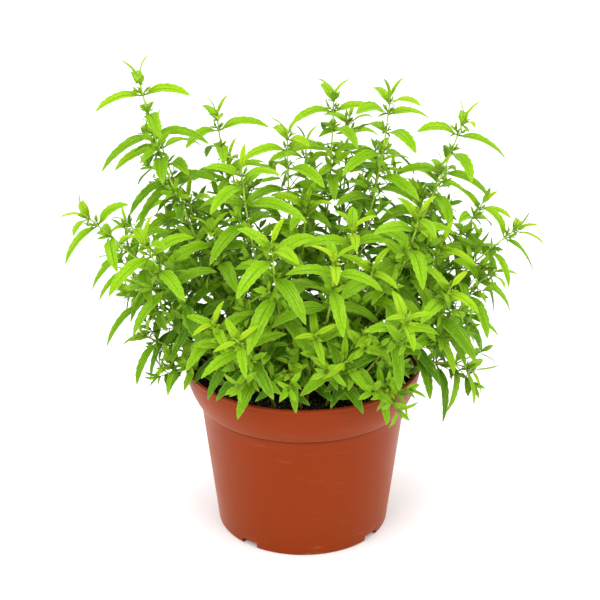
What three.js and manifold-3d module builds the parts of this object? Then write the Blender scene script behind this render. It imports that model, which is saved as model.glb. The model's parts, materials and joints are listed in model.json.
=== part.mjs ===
// A bushy herb with narrow toothed leaves, growing in a thin plastic nursery pot.
// Millimetres, +Z up. The origin is the centre of the pot's foot, on the ground.
// The front of the plant faces -Y.

import * as THREE from 'three';
import { mergeVertices } from 'three/addons/utils/BufferGeometryUtils.js';
import Module from 'manifold-3d';

const wasm = await Module();
wasm.setup();

// ---- Driving dimensions ----------------------------------------------------

const POT_HEIGHT = 105;
const RIM_RADIUS = 70;
const LIP_HEIGHT = 3;
const LIP_ROUNDING = 0.4;
const LIP_INSET = 0.8;
const COLLAR_FOOT_Z = 81.5;
const COLLAR_FOOT_RADIUS = 63;
const COLLAR_BULGE = 1.2;
const COLLAR_STEPS = [0, 0.35, 0.7, 1];
const FLARE_Z = COLLAR_FOOT_Z + 1;
const BODY_TOP_RADIUS = 61.3;
const BASE_RADIUS = 51.6;
const BASE_EDGE = 1.2;
const WALL = 1.5;
const FOOT_WIDTH = 2.6;
const FOOT_HEIGHT = 4;
const POT_SIDES = 40;

const NOTCHES = 4;
const NOTCH_WIDTH = 11;
const NOTCH_HEIGHT = 3.6;
const NOTCH_TURN = -38;

const DRAINS = 6;
const DRAIN_RADIUS = 4;
const DRAIN_CIRCLE = 30;
const DRAIN_SIDES = 8;

const SOIL_LEVEL = 96;
const SOIL_CROWN = 1.5;
const CROWN_SHARE = 0.55;
const GAP = 0.3;
const ROOTED = 7;

const STEM_HALF_TIP = 0.45;
const STEM_HALF_FOOT = 1.1;
const STEM_LEAN = 0.75;
const STEM_LEAN_MOST = 0.65;
const STEM_REACH = 0.4;
const NODE_HEIGHT = 1.8;
const BARE_FOOT = 16;

// A leaf widens up to its shoulder, narrows to its taper and ends in a point.
const LEAF_LENGTH = 30.5;
const LEAF_SLENDERNESS = 0.25;
const LEAF_THICKNESS = 0.6;
const SHOULDER_AT = 0.36;
const TAPER_AT = 0.74;
const TAPER_WIDTH = 0.74;
const TAPER_THICKNESS = 0.8;
const MIDRIB_STEP = 0.02;
const LEAF_ARCH = 0.14;
const LEAF_SAG = 0.25;
const LEAF_SHORTENING = 0.12;
const OPEN_PITCH = 74;
const OPEN_STIFFNESS = 0.75;
const CLEARANCE = 0.35;
const TOUCHING = 1e-6;

// Leaves turn their upper side towards the light, which comes from the front.
const LIGHT = new THREE.Vector3(0, -0.75, 0.65);
const LIGHT_PULL = 1.2;

// How far leaves differ from the rule: shares of the length and of the arch, degrees
// of pitch and of swing about the stem.
const VARIETY = { length: 0.1, arch: 0.08, pitch: 9, swing: 14 };

// Each node down the stem: its distance from the tip, the length of its leaves as a
// share of LEAF_LENGTH, and the angle in degrees between its leaves and the stem.
const NODES = [
  { below: 2.5, share: 0.56, pitch: 18 },
  { below: 7, share: 0.8, pitch: 46 },
  { below: 13, share: 1.0, pitch: 62 },
  { below: 24, share: 1.08, pitch: 70 },
  { below: 36.5, share: 1.06, pitch: 74 },
  { below: 50, share: 1.0, pitch: 76 },
  { below: 64, share: 0.95, pitch: 78 },
  { below: 79, share: 0.9, pitch: 78 },
  { below: 95, share: 0.84, pitch: 76 },
  { below: 112, share: 0.78, pitch: 74 },
  { below: 131, share: 0.7, pitch: 72 },
];

// Each shoot: where its stem leaves the soil, where its tip is, how upright the tip
// points (1 straight up, 0 level, below 0 hanging), the size of its leaves, and the
// turn of its leaf pairs about the stem in degrees. The young leaves at the tip are
// folded up, or spread out as a rosette as far as open is near to 1.
const SHOOTS = [
  { foot: [-30, 4], tip: [-92, 10, 275], rise: 0.86, size: 1.06, turn: 8 },
  { foot: [-26, 14], tip: [-85, 30, 238], rise: 0.8, size: 1, turn: 40 },
  { foot: [-16, 26], tip: [-51, 50, 243], rise: 0.92, size: 1, turn: 20 },
  { foot: [-3, 10], tip: [-9, 20, 240], rise: 1, size: 1.04, turn: 30 },
  { foot: [-10, -8], tip: [-34, -20, 231], rise: 0.95, size: 1.08, turn: 65 },
  { foot: [8, 22], tip: [18, 45, 256], rise: 0.96, size: 1.04, turn: 15 },
  { foot: [12, 34], tip: [28, 70, 235], rise: 0.95, size: 0.9, turn: 50 },
  { foot: [20, 12], tip: [50, 25, 260], rise: 0.92, size: 1.08, turn: 35 },
  { foot: [32, 10], tip: [93, 25, 247], rise: 0.76, size: 1, turn: 10 },
  { foot: [32, 26], tip: [85, 60, 208], rise: 0.75, size: 0.9, turn: 25 },
  { foot: [40, 6], tip: [106, 20, 197], rise: 0.62, size: 0.9, turn: 55 },
  { foot: [40, -6], tip: [127, 8, 186], rise: 0.42, size: 0.9, turn: 20 },
  { foot: [30, -20], tip: [82, -48, 172], rise: 0.7, size: 1, turn: 45, open: 0.4 },
  { foot: [24, -34], tip: [56, -82, 168], rise: 0.62, size: 0.93, turn: 12, open: 0.6 },
  { foot: [44, -18], tip: [100, -24, 107], rise: -0.35, size: 1, turn: 30, open: 0.3 },
  { foot: [22, -10], tip: [64, -35, 210], rise: 0.85, size: 1, turn: 28, open: 0.2 },
  { foot: [6, -26], tip: [17, -68, 197], rise: 0.85, size: 1, turn: 5, open: 0.3 },
  { foot: [-6, -24], tip: [-17, -63, 203], rise: 0.85, size: 1.08, turn: 42, open: 0.2 },
  { foot: [-28, -16], tip: [-87, -45, 198], rise: 0.75, size: 1, turn: 32, open: 0.2 },
  { foot: [-38, 0], tip: [-123, -26, 206], rise: 0.5, size: 0.95, turn: 14 },
  { foot: [-44, -14], tip: [-80, -30, 113], rise: 0.1, size: 0.85, turn: 38, open: 0.5 },
  { foot: [-40, -8], tip: [-96, -12, 127], rise: 0.4, size: 0.85, turn: 60, open: 0.4 },
  { foot: [-16, -36], tip: [-36, -78, 152], rise: 0.5, size: 0.88, turn: 22, open: 0.9 },
  { foot: [-14, -46], tip: [-31, -72, 130], rise: 0.25, size: 0.93, turn: 48, open: 1 },
  { foot: [2, -38], tip: [7, -74, 154], rise: 0.5, size: 0.83, turn: 18, open: 0.9 },
  { foot: [12, -46], tip: [24, -76, 138], rise: 0.3, size: 0.93, turn: 36, open: 1 },
  { foot: [28, -44], tip: [46, -73, 117], rise: 0, size: 0.81, turn: 10, open: 0.9 },
  { foot: [-42, -4], tip: [-102, -6, 151], rise: 0.5, size: 0.9, turn: 25 },
  { foot: [-30, -28], tip: [-50, -60, 155], rise: 0.6, size: 0.88, turn: 50, open: 0.6 },
  { foot: [-20, -22], tip: [-25, -46, 156], rise: 0.8, size: 0.88, turn: 15, open: 0.7 },
  { foot: [2, -14], tip: [-6, -30, 158], rise: 0.85, size: 0.88, turn: 33, open: 0.6 },
  { foot: [14, -22], tip: [39, -47, 184], rise: 0.8, size: 1, turn: 52, open: 0.4 },
  { foot: [10, -32], tip: [16, -50, 168], rise: 0.8, size: 0.88, turn: 20, open: 0.6 },
  { foot: [-20, -4], tip: [-52, -14, 194], rise: 0.85, size: 1, turn: 12, open: 0.3 },
  { foot: [-24, 2], tip: [-67, 14, 203], rise: 0.85, size: 0.95, turn: 48 },
  { foot: [-8, 0], tip: [2, 4, 204], rise: 0.95, size: 1, turn: 62 },
  { foot: [28, 20], tip: [72, 36, 198], rise: 0.85, size: 0.95, turn: 32 },
  { foot: [46, -2], tip: [112, -6, 164], rise: 0.45, size: 0.95, turn: 8 },
  { foot: [40, -14], tip: [97, -22, 146], rise: 0.4, size: 0.95, turn: 40 },
  { foot: [38, -24], tip: [82, -40, 138], rise: 0.3, size: 0.95, turn: 22, open: 0.4 },
  { foot: [24, -2], tip: [79, -16, 186], rise: 0.8, size: 0.95, turn: 58, open: 0.2 },
  { foot: [-44, 6], tip: [-110, 6, 168], rise: 0.5, size: 0.9, turn: 46 },
  { foot: [12, -10], tip: [28, -28, 200], rise: 0.9, size: 1, turn: 10, open: 0.3 },
  { foot: [22, -38], tip: [36, -66, 150], rise: 0.55, size: 0.88, turn: 55, open: 0.8 },
  { foot: [0, -48], tip: [-8, -70, 128], rise: 0.4, size: 0.83, turn: 28, open: 0.9 },
  { foot: [0, 44], tip: [2, 79, 217], rise: 0.8, size: 0.95, turn: 26 },
  { foot: [22, 42], tip: [48, 77, 209], rise: 0.8, size: 0.95, turn: 60 },
  { foot: [-20, 42], tip: [-46, 78, 208], rise: 0.75, size: 0.95, turn: 12 },
  { foot: [-36, 30], tip: [-84, 68, 192], rise: 0.65, size: 0.9, turn: 34 },
  { foot: [38, 34], tip: [82, 76, 178], rise: 0.6, size: 0.9, turn: 16 },
  { foot: [-42, 18], tip: [-108, 42, 178], rise: 0.5, size: 0.85, turn: 44 },
  { foot: [46, 18], tip: [108, 44, 160], rise: 0.4, size: 0.85, turn: 52 },
  { foot: [-24, 46], tip: [-60, 78, 143], rise: 0.2, size: 0.85, turn: 20 },
  { foot: [10, 52], tip: [16, 82, 143], rise: 0.2, size: 0.85, turn: 40 },
  { foot: [32, 42], tip: [64, 77, 133], rise: 0.1, size: 0.8, turn: 8 },
];

// Ways a leaf may give way to its neighbours, tried in order: swing about the stem and
// lift towards its tip, in degrees, and the share of its length that is left.
const GIVING_WAY = [
  { swing: 0, lift: 0, keep: 1 },
  { swing: 18, lift: 0, keep: 1 },
  { swing: -18, lift: 0, keep: 1 },
  { swing: 0, lift: 14, keep: 1 },
  { swing: 0, lift: -14, keep: 1 },
  { swing: 34, lift: 8, keep: 1 },
  { swing: -34, lift: 8, keep: 1 },
  { swing: 24, lift: -16, keep: 0.9 },
  { swing: -24, lift: -16, keep: 0.9 },
  { swing: 0, lift: 28, keep: 0.85 },
  { swing: 42, lift: 20, keep: 0.8 },
  { swing: -42, lift: 20, keep: 0.8 },
  { swing: 0, lift: 0, keep: 0.6 },
];

const COLOURS = {
  pot: { color: 0xa3401c, roughness: 0.45, metalness: 0 },
  soil: { color: 0x1c1410, roughness: 0.95, metalness: 0 },
  leaf: { color: 0x7cbb1e, roughness: 0.55, metalness: 0 },
};

// ---- Solids ----------------------------------------------------------------

const MERGE_DISTANCE = 1e-4;

// A solid from flat lists of coordinates and triangle corners.
function solidFrom(vertProperties, triVerts) {
  const mesh = new wasm.Mesh({
    numProp: 3,
    vertProperties: new Float32Array(vertProperties),
    triVerts: new Uint32Array(triVerts),
  });
  return new wasm.Manifold(mesh);
}

function solidOf(geometry) {
  const bare = geometry.clone();
  bare.deleteAttribute('normal');
  bare.deleteAttribute('uv');
  const merged = mergeVertices(bare, MERGE_DISTANCE);
  return solidFrom(merged.attributes.position.array, merged.index.array);
}

function geometryOf(solid) {
  const { vertProperties, triVerts } = solid.getMesh();
  const geometry = new THREE.BufferGeometry();
  geometry.setAttribute('position', new THREE.BufferAttribute(vertProperties, 3));
  geometry.setIndex(new THREE.BufferAttribute(triVerts, 1));
  geometry.computeVertexNormals();
  return geometry;
}

function piece(name, geometry, finish) {
  const mesh = new THREE.Mesh(geometry, new THREE.MeshStandardMaterial(finish));
  mesh.name = name;
  return mesh;
}

// Radii and heights turned about the Z axis; the profile runs from axis to axis.
function turned(profile, sides) {
  const points = profile.map(([radius, z]) => new THREE.Vector2(radius, z));
  return new THREE.LatheGeometry(points, sides).rotateX(Math.PI / 2);
}

// ---- Pot and soil ----------------------------------------------------------

const collarRadius = (z) => {
  const share = (z - COLLAR_FOOT_Z) / (POT_HEIGHT - LIP_HEIGHT - COLLAR_FOOT_Z);
  const straight = COLLAR_FOOT_RADIUS + (RIM_RADIUS - COLLAR_FOOT_RADIUS) * share;
  return straight + COLLAR_BULGE * 4 * share * (1 - share);
};

// Wall radius outside, from the foot up to the collar.
const bodyRadius = (z) => BASE_RADIUS + ((BODY_TOP_RADIUS - BASE_RADIUS) * z) / COLLAR_FOOT_Z;

// Inside of the wall: the cone below the collar, then the collar's own flare.
function innerRadius(z) {
  if (z <= FLARE_Z) return bodyRadius(Math.min(z, COLLAR_FOOT_Z)) - WALL;
  const share = (z - FLARE_Z) / (POT_HEIGHT - FLARE_Z);
  const start = BODY_TOP_RADIUS - WALL;
  return start + (RIM_RADIUS - WALL - LIP_INSET - start) * share;
}

function potProfile() {
  const floorTop = FOOT_HEIGHT + WALL;
  const footInside = BASE_RADIUS - BASE_EDGE - FOOT_WIDTH;
  const collar = COLLAR_STEPS.map((share) => {
    const z = COLLAR_FOOT_Z + (POT_HEIGHT - LIP_HEIGHT - COLLAR_FOOT_Z) * share;
    return [collarRadius(z), z];
  });
  return [
    [0, FOOT_HEIGHT],
    [footInside, FOOT_HEIGHT],
    [footInside, 0],
    [BASE_RADIUS - BASE_EDGE, 0],
    [bodyRadius(BASE_EDGE * 2), BASE_EDGE * 2],
    [bodyRadius(COLLAR_FOOT_Z), COLLAR_FOOT_Z],
    ...collar,
    [RIM_RADIUS + LIP_ROUNDING / 2, POT_HEIGHT - LIP_HEIGHT / 2],
    [RIM_RADIUS - LIP_ROUNDING, POT_HEIGHT - LIP_ROUNDING],
    [RIM_RADIUS - WALL / 2 - LIP_ROUNDING, POT_HEIGHT],
    [innerRadius(POT_HEIGHT), POT_HEIGHT - LIP_ROUNDING],
    [innerRadius(FLARE_Z), FLARE_Z],
    [innerRadius(floorTop), floorTop],
    [0, floorTop],
  ];
}

// Slots under the foot ring let water run out from below the floor.
function notchCutters() {
  const cutters = [];
  for (let i = 0; i < NOTCHES; i += 1) {
    const notch = new THREE.BoxGeometry(NOTCH_WIDTH, BASE_RADIUS, NOTCH_HEIGHT * 2);
    notch.translate(0, -BASE_RADIUS, 0);
    notch.rotateZ(THREE.MathUtils.degToRad(NOTCH_TURN + (360 / NOTCHES) * i));
    cutters.push(solidOf(notch));
  }
  return cutters;
}

function drainCutters() {
  const cutters = [];
  for (let i = 0; i < DRAINS; i += 1) {
    const angle = (2 * Math.PI * i) / DRAINS;
    const drain = new THREE.CylinderGeometry(DRAIN_RADIUS, DRAIN_RADIUS, WALL * 4, DRAIN_SIDES);
    drain.rotateX(Math.PI / 2);
    drain.translate(DRAIN_CIRCLE * Math.cos(angle), DRAIN_CIRCLE * Math.sin(angle), FOOT_HEIGHT);
    cutters.push(solidOf(drain));
  }
  return cutters;
}

function potSolid() {
  let solid = solidOf(turned(potProfile(), POT_SIDES));
  for (const cutter of [...notchCutters(), ...drainCutters()]) solid = solid.subtract(cutter);
  return solid;
}

const soilTop = (radius) => {
  const share = radius / innerRadius(SOIL_LEVEL);
  return SOIL_LEVEL + SOIL_CROWN * (1 - share * share);
};

// The root ball fills the pot, with a pocket around the foot of each stem.
function soilSolid(stemPockets) {
  const bottom = FOOT_HEIGHT + WALL + GAP;
  const crown = innerRadius(SOIL_LEVEL) * CROWN_SHARE;
  const profile = [
    [0, bottom],
    [innerRadius(bottom) - 2 * GAP, bottom],
    [innerRadius(FLARE_Z) - 2 * GAP, FLARE_Z],
    [innerRadius(SOIL_LEVEL) - 2 * GAP, SOIL_LEVEL],
    [crown, soilTop(crown)],
    [0, soilTop(0)],
  ];
  let solid = solidOf(turned(profile, POT_SIDES));
  for (const pocket of stemPockets) solid = solid.subtract(pocket);
  return solid;
}

// ---- Stems -----------------------------------------------------------------

const UP = new THREE.Vector3(0, 0, 1);

// A stem leaves the soil leaning outwards, then turns towards the light.
function stemCurve({ foot, tip, rise }) {
  const top = new THREE.Vector3(...tip);
  const root = new THREE.Vector3(foot[0], foot[1], soilTop(Math.hypot(...foot)) - ROOTED);
  const outward = new THREE.Vector3(tip[0] - foot[0], tip[1] - foot[1], 0);
  const lean = Math.min(STEM_LEAN_MOST, (STEM_LEAN * outward.length()) / (top.z - root.z));
  outward.normalize();
  const start = UP.clone().addScaledVector(outward, lean).normalize();
  const end = outward.multiplyScalar(1 - Math.abs(rise)).addScaledVector(UP, rise).normalize();
  const reach = STEM_REACH * root.distanceTo(top);
  return new THREE.CubicBezierCurve3(
    root,
    root.clone().addScaledVector(start, reach),
    top.clone().addScaledVector(end, -reach),
    top,
  );
}

// The square section of a stem at a distance from its tip: centre, axis and two sides.
function stemFrame(shoot, below) {
  const { curve, length, turn } = shoot;
  const at = Math.max(0, 1 - below / length);
  const centre = curve.getPointAt(at);
  const axis = curve.getTangentAt(at);
  const across = new THREE.Vector3(1, 0, 0).addScaledVector(axis, -axis.x).normalize();
  across.applyAxisAngle(axis, THREE.MathUtils.degToRad(turn));
  const half = THREE.MathUtils.lerp(STEM_HALF_TIP, STEM_HALF_FOOT, below / length);
  return { centre, axis, across, along: axis.clone().cross(across), half };
}

// Four corners, anticlockwise seen from the tip.
function stemRing({ centre, across, along, half }) {
  const corners = [[-1, -1], [1, -1], [1, 1], [-1, 1]];
  return corners.map(([a, b]) =>
    centre.clone().addScaledVector(across, a * half).addScaledVector(along, b * half));
}

function nodesOf(length) {
  return NODES.filter(({ below }) => below < length - ROOTED - BARE_FOOT);
}

// ---- Leaves ----------------------------------------------------------------

// Repeatable random numbers between -1 and 1.
function randomFrom(seed) {
  let state = seed * 2654435761 + 12345;
  return () => {
    state = (Math.imul(state ^ (state >>> 15), 1 | state) + 0x6d2b79f5) | 0;
    const mixed = Math.imul(state ^ (state >>> 7), 61 | state) ^ state;
    return (((mixed ^ (mixed >>> 14)) >>> 0) / 2147483648) - 1;
  };
}

// One leaf's sections from its foot on the stem's side to its tip. Its outline arches
// away from the stem's tip and sags a little under its own weight.
function leafShape(frame, side, leaf, way) {
  const out = side.clone().applyAxisAngle(frame.axis, THREE.MathUtils.degToRad(leaf.swing + way.swing));
  const pitch = THREE.MathUtils.degToRad(leaf.pitch - way.lift);
  const ahead = out.clone().multiplyScalar(Math.sin(pitch)).addScaledVector(frame.axis, Math.cos(pitch));
  const upper = frame.axis.clone().multiplyScalar(Math.sin(pitch)).addScaledVector(out, -Math.cos(pitch));
  const lit = upper.clone().addScaledVector(LIGHT, LIGHT_PULL * Math.sin(pitch));
  const width = lit.cross(ahead).normalize();
  const length = leaf.length * way.keep;
  const foot = frame.centre.clone().addScaledVector(side, frame.half);
  const midrib = (share) => foot.clone()
    .addScaledVector(ahead, length * share * (1 - LEAF_SHORTENING * share))
    .addScaledVector(upper, -length * leaf.arch * share * share)
    .addScaledVector(UP, -length * leaf.sag * share * share);
  const section = (share, halfWidth, halfThickness) => {
    const forward = midrib(share + MIDRIB_STEP).sub(midrib(share - MIDRIB_STEP)).normalize();
    const face = forward.cross(width).normalize();
    return [[-1, -1], [1, -1], [1, 1], [-1, 1]].map(([a, b]) =>
      midrib(share).addScaledVector(width, a * halfWidth).addScaledVector(face, b * halfThickness));
  };
  return { midrib, section, length, grip: frame.half };
}

function leafSections({ midrib, section, length }, extra) {
  const halfWidth = (length * LEAF_SLENDERNESS) / 2;
  const halfThickness = LEAF_THICKNESS / 2;
  return {
    shoulder: section(SHOULDER_AT, halfWidth + extra, halfThickness + extra),
    taper: section(TAPER_AT, halfWidth * TAPER_WIDTH + extra, halfThickness * TAPER_THICKNESS + extra),
    tip: midrib(1),
  };
}

// ---- Building a shoot as one closed skin -------------------------------------

class Skin {
  constructor() {
    this.positions = [];
    this.corners = [];
  }

  point(vector) {
    this.positions.push(vector.x, vector.y, vector.z);
    return this.positions.length / 3 - 1;
  }

  ring(points) {
    return points.map((vector) => this.point(vector));
  }

  quad(a, b, c, d) {
    this.corners.push(a, b, c, a, c, d);
  }

  band(lower, upper) {
    for (let i = 0; i < 4; i += 1) {
      const j = (i + 1) % 4;
      this.quad(lower[i], lower[j], upper[j], upper[i]);
    }
  }

  pointed(ring, tip) {
    for (let i = 0; i < 4; i += 1) this.corners.push(ring[i], ring[(i + 1) % 4], tip);
  }

  solid() {
    return solidFrom(this.positions, this.corners);
  }
}

// A leaf as a closed body of its own, from the side of the stem outwards.
function looseLeaf(shape, extra) {
  const skin = new Skin();
  const { shoulder, taper, tip } = leafSections(shape, extra);
  const start = skin.ring(shape.section(0, shape.grip + extra, NODE_HEIGHT / 2 + extra));
  const rings = [start, skin.ring(shoulder), skin.ring(taper)];
  skin.quad(start[3], start[2], start[1], start[0]);
  skin.band(rings[0], rings[1]);
  skin.band(rings[1], rings[2]);
  skin.pointed(rings[2], skin.point(tip));
  return skin.solid();
}

function stemSkin(shoot, addLeaf) {
  const skin = new Skin();
  const nodes = nodesOf(shoot.length);
  const tip = skin.point(shoot.curve.getPointAt(1));
  let above = null;
  nodes.forEach(({ below }, index) => {
    const upper = skin.ring(stemRing(stemFrame(shoot, below - NODE_HEIGHT / 2)));
    const lower = skin.ring(stemRing(stemFrame(shoot, below + NODE_HEIGHT / 2)));
    if (above) skin.band(upper, above);
    else skin.pointed(upper, tip);
    for (let i = 0; i < 4; i += 1) {
      const j = (i + 1) % 4;
      const face = [lower[i], lower[j], upper[j], upper[i]];
      if (!addLeaf(skin, index, i, face)) skin.quad(...face);
    }
    above = lower;
  });
  const ground = skin.ring(stemRing(stemFrame(shoot, shoot.length - ROOTED - BARE_FOOT / 2)));
  const root = skin.ring(stemRing(stemFrame(shoot, shoot.length)));
  skin.band(ground, above);
  skin.band(root, ground);
  skin.quad(root[3], root[2], root[1], root[0]);
  return skin;
}

function growLeaf(skin, face, shape) {
  const { shoulder, taper, tip } = leafSections(shape, 0);
  const rings = [face, skin.ring(shoulder), skin.ring(taper)];
  skin.band(rings[0], rings[1]);
  skin.band(rings[1], rings[2]);
  skin.pointed(rings[2], skin.point(tip));
}

// ---- Finding room for every leaf ---------------------------------------------

class Room {
  constructor() {
    this.taken = [];
  }

  take(solid, label = '') {
    this.taken.push({ solid, label, box: solid.boundingBox() });
  }

  // True where a leaf meets nothing but its own stem and the leaf opposite to it.
  isFree(solid, ownLabels) {
    const box = solid.boundingBox();
    return !this.taken.some((other) => {
      if (ownLabels.includes(other.label)) return false;
      for (let i = 0; i < 3; i += 1) {
        if (other.box.min[i] > box.max[i] || other.box.max[i] < box.min[i]) return false;
      }
      return other.solid.intersect(solid).volume() > TOUCHING;
    });
  }
}

function leafPlans(shoot, index) {
  const random = randomFrom(index + 1);
  const { open = 0 } = shoot;
  return nodesOf(shoot.length).map(({ below, share, pitch }, nodeIndex) => {
    const frame = stemFrame(shoot, below);
    const sides = nodeIndex % 2 ? [0, 2] : [1, 3];
    return sides.map((sideIndex) => ({
      frame,
      nodeIndex,
      sideIndex,
      length: LEAF_LENGTH * shoot.size * share * (1 + VARIETY.length * random()),
      pitch: pitch + open * Math.max(0, OPEN_PITCH - pitch) + VARIETY.pitch * random(),
      swing: VARIETY.swing * random(),
      arch: LEAF_ARCH * (1 + share) + VARIETY.arch * random(),
      sag: LEAF_SAG * share * (1 - OPEN_STIFFNESS * open),
    }));
  }).flat();
}

// The outward direction of each side of a stem's section, in the order of its corners.
function sideDirection({ across, along }, sideIndex) {
  const directions = [along.clone().negate(), across.clone(), along.clone(), across.clone().negate()];
  return directions[sideIndex];
}

function placeLeaves(shoot, owner, room) {
  const placed = new Map();
  for (const leaf of leafPlans(shoot, owner)) {
    const side = sideDirection(leaf.frame, leaf.sideIndex);
    const stem = `stem ${owner}`;
    const pair = `pair ${owner}.${leaf.nodeIndex}`;
    for (const way of GIVING_WAY) {
      const shape = leafShape(leaf.frame, side, leaf, way);
      if (!room.isFree(looseLeaf(shape, CLEARANCE), [stem, pair])) continue;
      room.take(looseLeaf(shape, 0), pair);
      placed.set(`${leaf.nodeIndex}.${leaf.sideIndex}`, shape);
      break;
    }
  }
  return placed;
}

// The hole a stem's foot stands in: the same square prism, a gap wider, open above.
function pocketOf(shoot) {
  const skin = new Skin();
  const deepest = stemFrame(shoot, shoot.length);
  const highest = stemFrame(shoot, shoot.length - ROOTED - BARE_FOOT / 2);
  deepest.half += GAP;
  highest.half += GAP;
  deepest.centre.addScaledVector(deepest.axis, -GAP);
  const floor = skin.ring(stemRing(deepest));
  const mouth = skin.ring(stemRing(highest));
  skin.quad(floor[3], floor[2], floor[1], floor[0]);
  skin.band(floor, mouth);
  skin.quad(...mouth);
  return skin.solid();
}

function withCurve(shoot) {
  const curve = stemCurve(shoot);
  return { ...shoot, curve, length: curve.getLength() };
}

// ---- Assembly ----------------------------------------------------------------

const noLeaf = () => false;

function plant() {
  const group = new THREE.Group();
  const room = new Room();
  const shoots = SHOOTS.map(withCurve);
  const pot = potSolid();
  const soil = soilSolid(shoots.map(pocketOf));
  room.take(pot);
  room.take(soil);
  shoots.forEach((shoot, owner) => room.take(stemSkin(shoot, noLeaf).solid(), `stem ${owner}`));
  group.add(piece('pot', geometryOf(pot), COLOURS.pot));
  group.add(piece('soil', geometryOf(soil), COLOURS.soil));
  shoots.forEach((shoot, owner) => {
    const placed = placeLeaves(shoot, owner, room);
    const skin = stemSkin(shoot, (target, nodeIndex, sideIndex, face) => {
      const shape = placed.get(`${nodeIndex}.${sideIndex}`);
      if (shape) growLeaf(target, face, shape);
      return Boolean(shape);
    });
    const name = `shoot_${String(owner + 1).padStart(2, '0')}`;
    group.add(piece(name, geometryOf(skin.solid()), COLOURS.leaf));
  });
  return group;
}

export default plant();
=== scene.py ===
"""Looks of a bushy potted herb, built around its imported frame.

Each stem of the frame is read back as a run of square sections, and each leaf as
four sections from the stem to its tip. Geometry node trees then grow a rounded
stem, toothed blades and small side shoots along them. The pot and its compost are
turned and strewn from the frame's own sizes.
"""

import json
import logging
import math
import random
from dataclasses import dataclass, field
from enum import Enum
from typing import Any, Iterable, Sequence

import bmesh
import bpy
from mathutils import Matrix, Vector, noise

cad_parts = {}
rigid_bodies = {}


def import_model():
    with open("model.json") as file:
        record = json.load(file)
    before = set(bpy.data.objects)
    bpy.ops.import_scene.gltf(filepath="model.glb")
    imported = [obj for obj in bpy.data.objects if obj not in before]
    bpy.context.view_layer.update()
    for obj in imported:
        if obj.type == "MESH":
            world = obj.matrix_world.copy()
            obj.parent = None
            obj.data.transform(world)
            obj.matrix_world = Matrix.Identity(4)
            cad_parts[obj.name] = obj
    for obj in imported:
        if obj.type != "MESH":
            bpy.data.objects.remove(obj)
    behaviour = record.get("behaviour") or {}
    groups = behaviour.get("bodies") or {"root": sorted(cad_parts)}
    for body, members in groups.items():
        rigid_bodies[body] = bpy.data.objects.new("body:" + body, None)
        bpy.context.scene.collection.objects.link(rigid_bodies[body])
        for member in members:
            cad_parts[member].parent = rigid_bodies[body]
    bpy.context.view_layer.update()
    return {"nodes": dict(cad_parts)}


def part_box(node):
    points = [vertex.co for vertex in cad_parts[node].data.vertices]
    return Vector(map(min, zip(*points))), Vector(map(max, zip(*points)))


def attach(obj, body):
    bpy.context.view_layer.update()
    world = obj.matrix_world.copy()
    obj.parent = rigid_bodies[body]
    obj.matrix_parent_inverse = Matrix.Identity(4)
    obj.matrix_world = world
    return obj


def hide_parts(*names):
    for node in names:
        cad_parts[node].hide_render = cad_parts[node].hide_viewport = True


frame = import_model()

BODY = "root"
MM = 0.001
LOG = logging.getLogger("potted_herb")

Colour = tuple[float, float, float, float]
Socket = bpy.types.NodeSocket


class Slot(Enum):
    """The names of the record's material slots, one for each kind of piece."""

    POT = "pot_plastic"
    SOIL = "potting_soil"
    HERB = "herb_green"


class Kind(Enum):
    """What a vertex of a shoot's skeleton belongs to."""

    STEM = 0
    BLADE = 1
    SPRIG = 2


def rgb(red: int, green: int, blue: int) -> Colour:
    """Turn a display colour of 0 to 255 into a scene-linear one.

    Args:
        red: Red as displayed.
        green: Green as displayed.
        blue: Blue as displayed.

    Returns:
        The linear colour with an alpha of one.
    """
    def linear(value: int) -> float:
        """Undo the display curve for one channel."""
        share = value / 255
        return share / 12.92 if share <= 0.04045 else ((share + 0.055) / 1.055) ** 2.4

    return (linear(red), linear(green), linear(blue), 1.0)


# ---- Node trees -------------------------------------------------------------


class Tree:
    """A node tree under construction, which lays its nodes out from left to right."""

    COLUMN, ROW, ROWS = 200, 180, 6

    def __init__(self, tree: bpy.types.NodeTree) -> None:
        """Take over a node tree and clear it.

        Args:
            tree: The tree to build in.
        """
        self.tree = tree
        self.tree.nodes.clear()
        self.count = 0

    def add(self, kind: str, *inputs: Any, **settings: Any) -> bpy.types.Node:
        """Add a node and connect its inputs in order.

        Args:
            kind: The node's type name.
            inputs: A socket to link, a value to set, or None to leave as it is.
            settings: Properties of the node, set before its inputs.

        Returns:
            The new node.
        """
        node = self.tree.nodes.new(kind)
        column, row = divmod(self.count, self.ROWS)
        node.location = (self.COLUMN * column, -self.ROW * row)
        self.count += 1
        for name, value in settings.items():
            setattr(node, name, value)
        sockets = [socket for socket in node.inputs if socket.enabled]
        for socket, value in zip(sockets, inputs):
            self.feed(socket, value)
        return node

    def feed(self, socket: Socket, value: Any) -> None:
        """Link a socket or set its value.

        Args:
            socket: The input to feed.
            value: An output socket, a plain value, or None for no change.
        """
        if isinstance(value, Socket):
            self.tree.links.new(value, socket)
        elif value is not None:
            socket.default_value = value

    def math(self, operation: str, *inputs: Any) -> Socket:
        """The result of a new Math node."""
        return self.add("ShaderNodeMath", *inputs, operation=operation).outputs[0]

    def times(self, first: Any, second: Any) -> Socket:
        """The product of two values."""
        return self.math("MULTIPLY", first, second)

    def ramp(self, value: Any, low: float, high: float, start: float = 0.0,
             stop: float = 1.0) -> Socket:
        """A value that goes smoothly from start at low to stop at high."""
        return self.add("ShaderNodeMapRange", value, low, high, start, stop,
                        interpolation_type="SMOOTHSTEP").outputs[0]

    @staticmethod
    def live(node: bpy.types.Node) -> Socket:
        """The output that a node has in use."""
        return next(socket for socket in node.outputs if socket.enabled)


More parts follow.
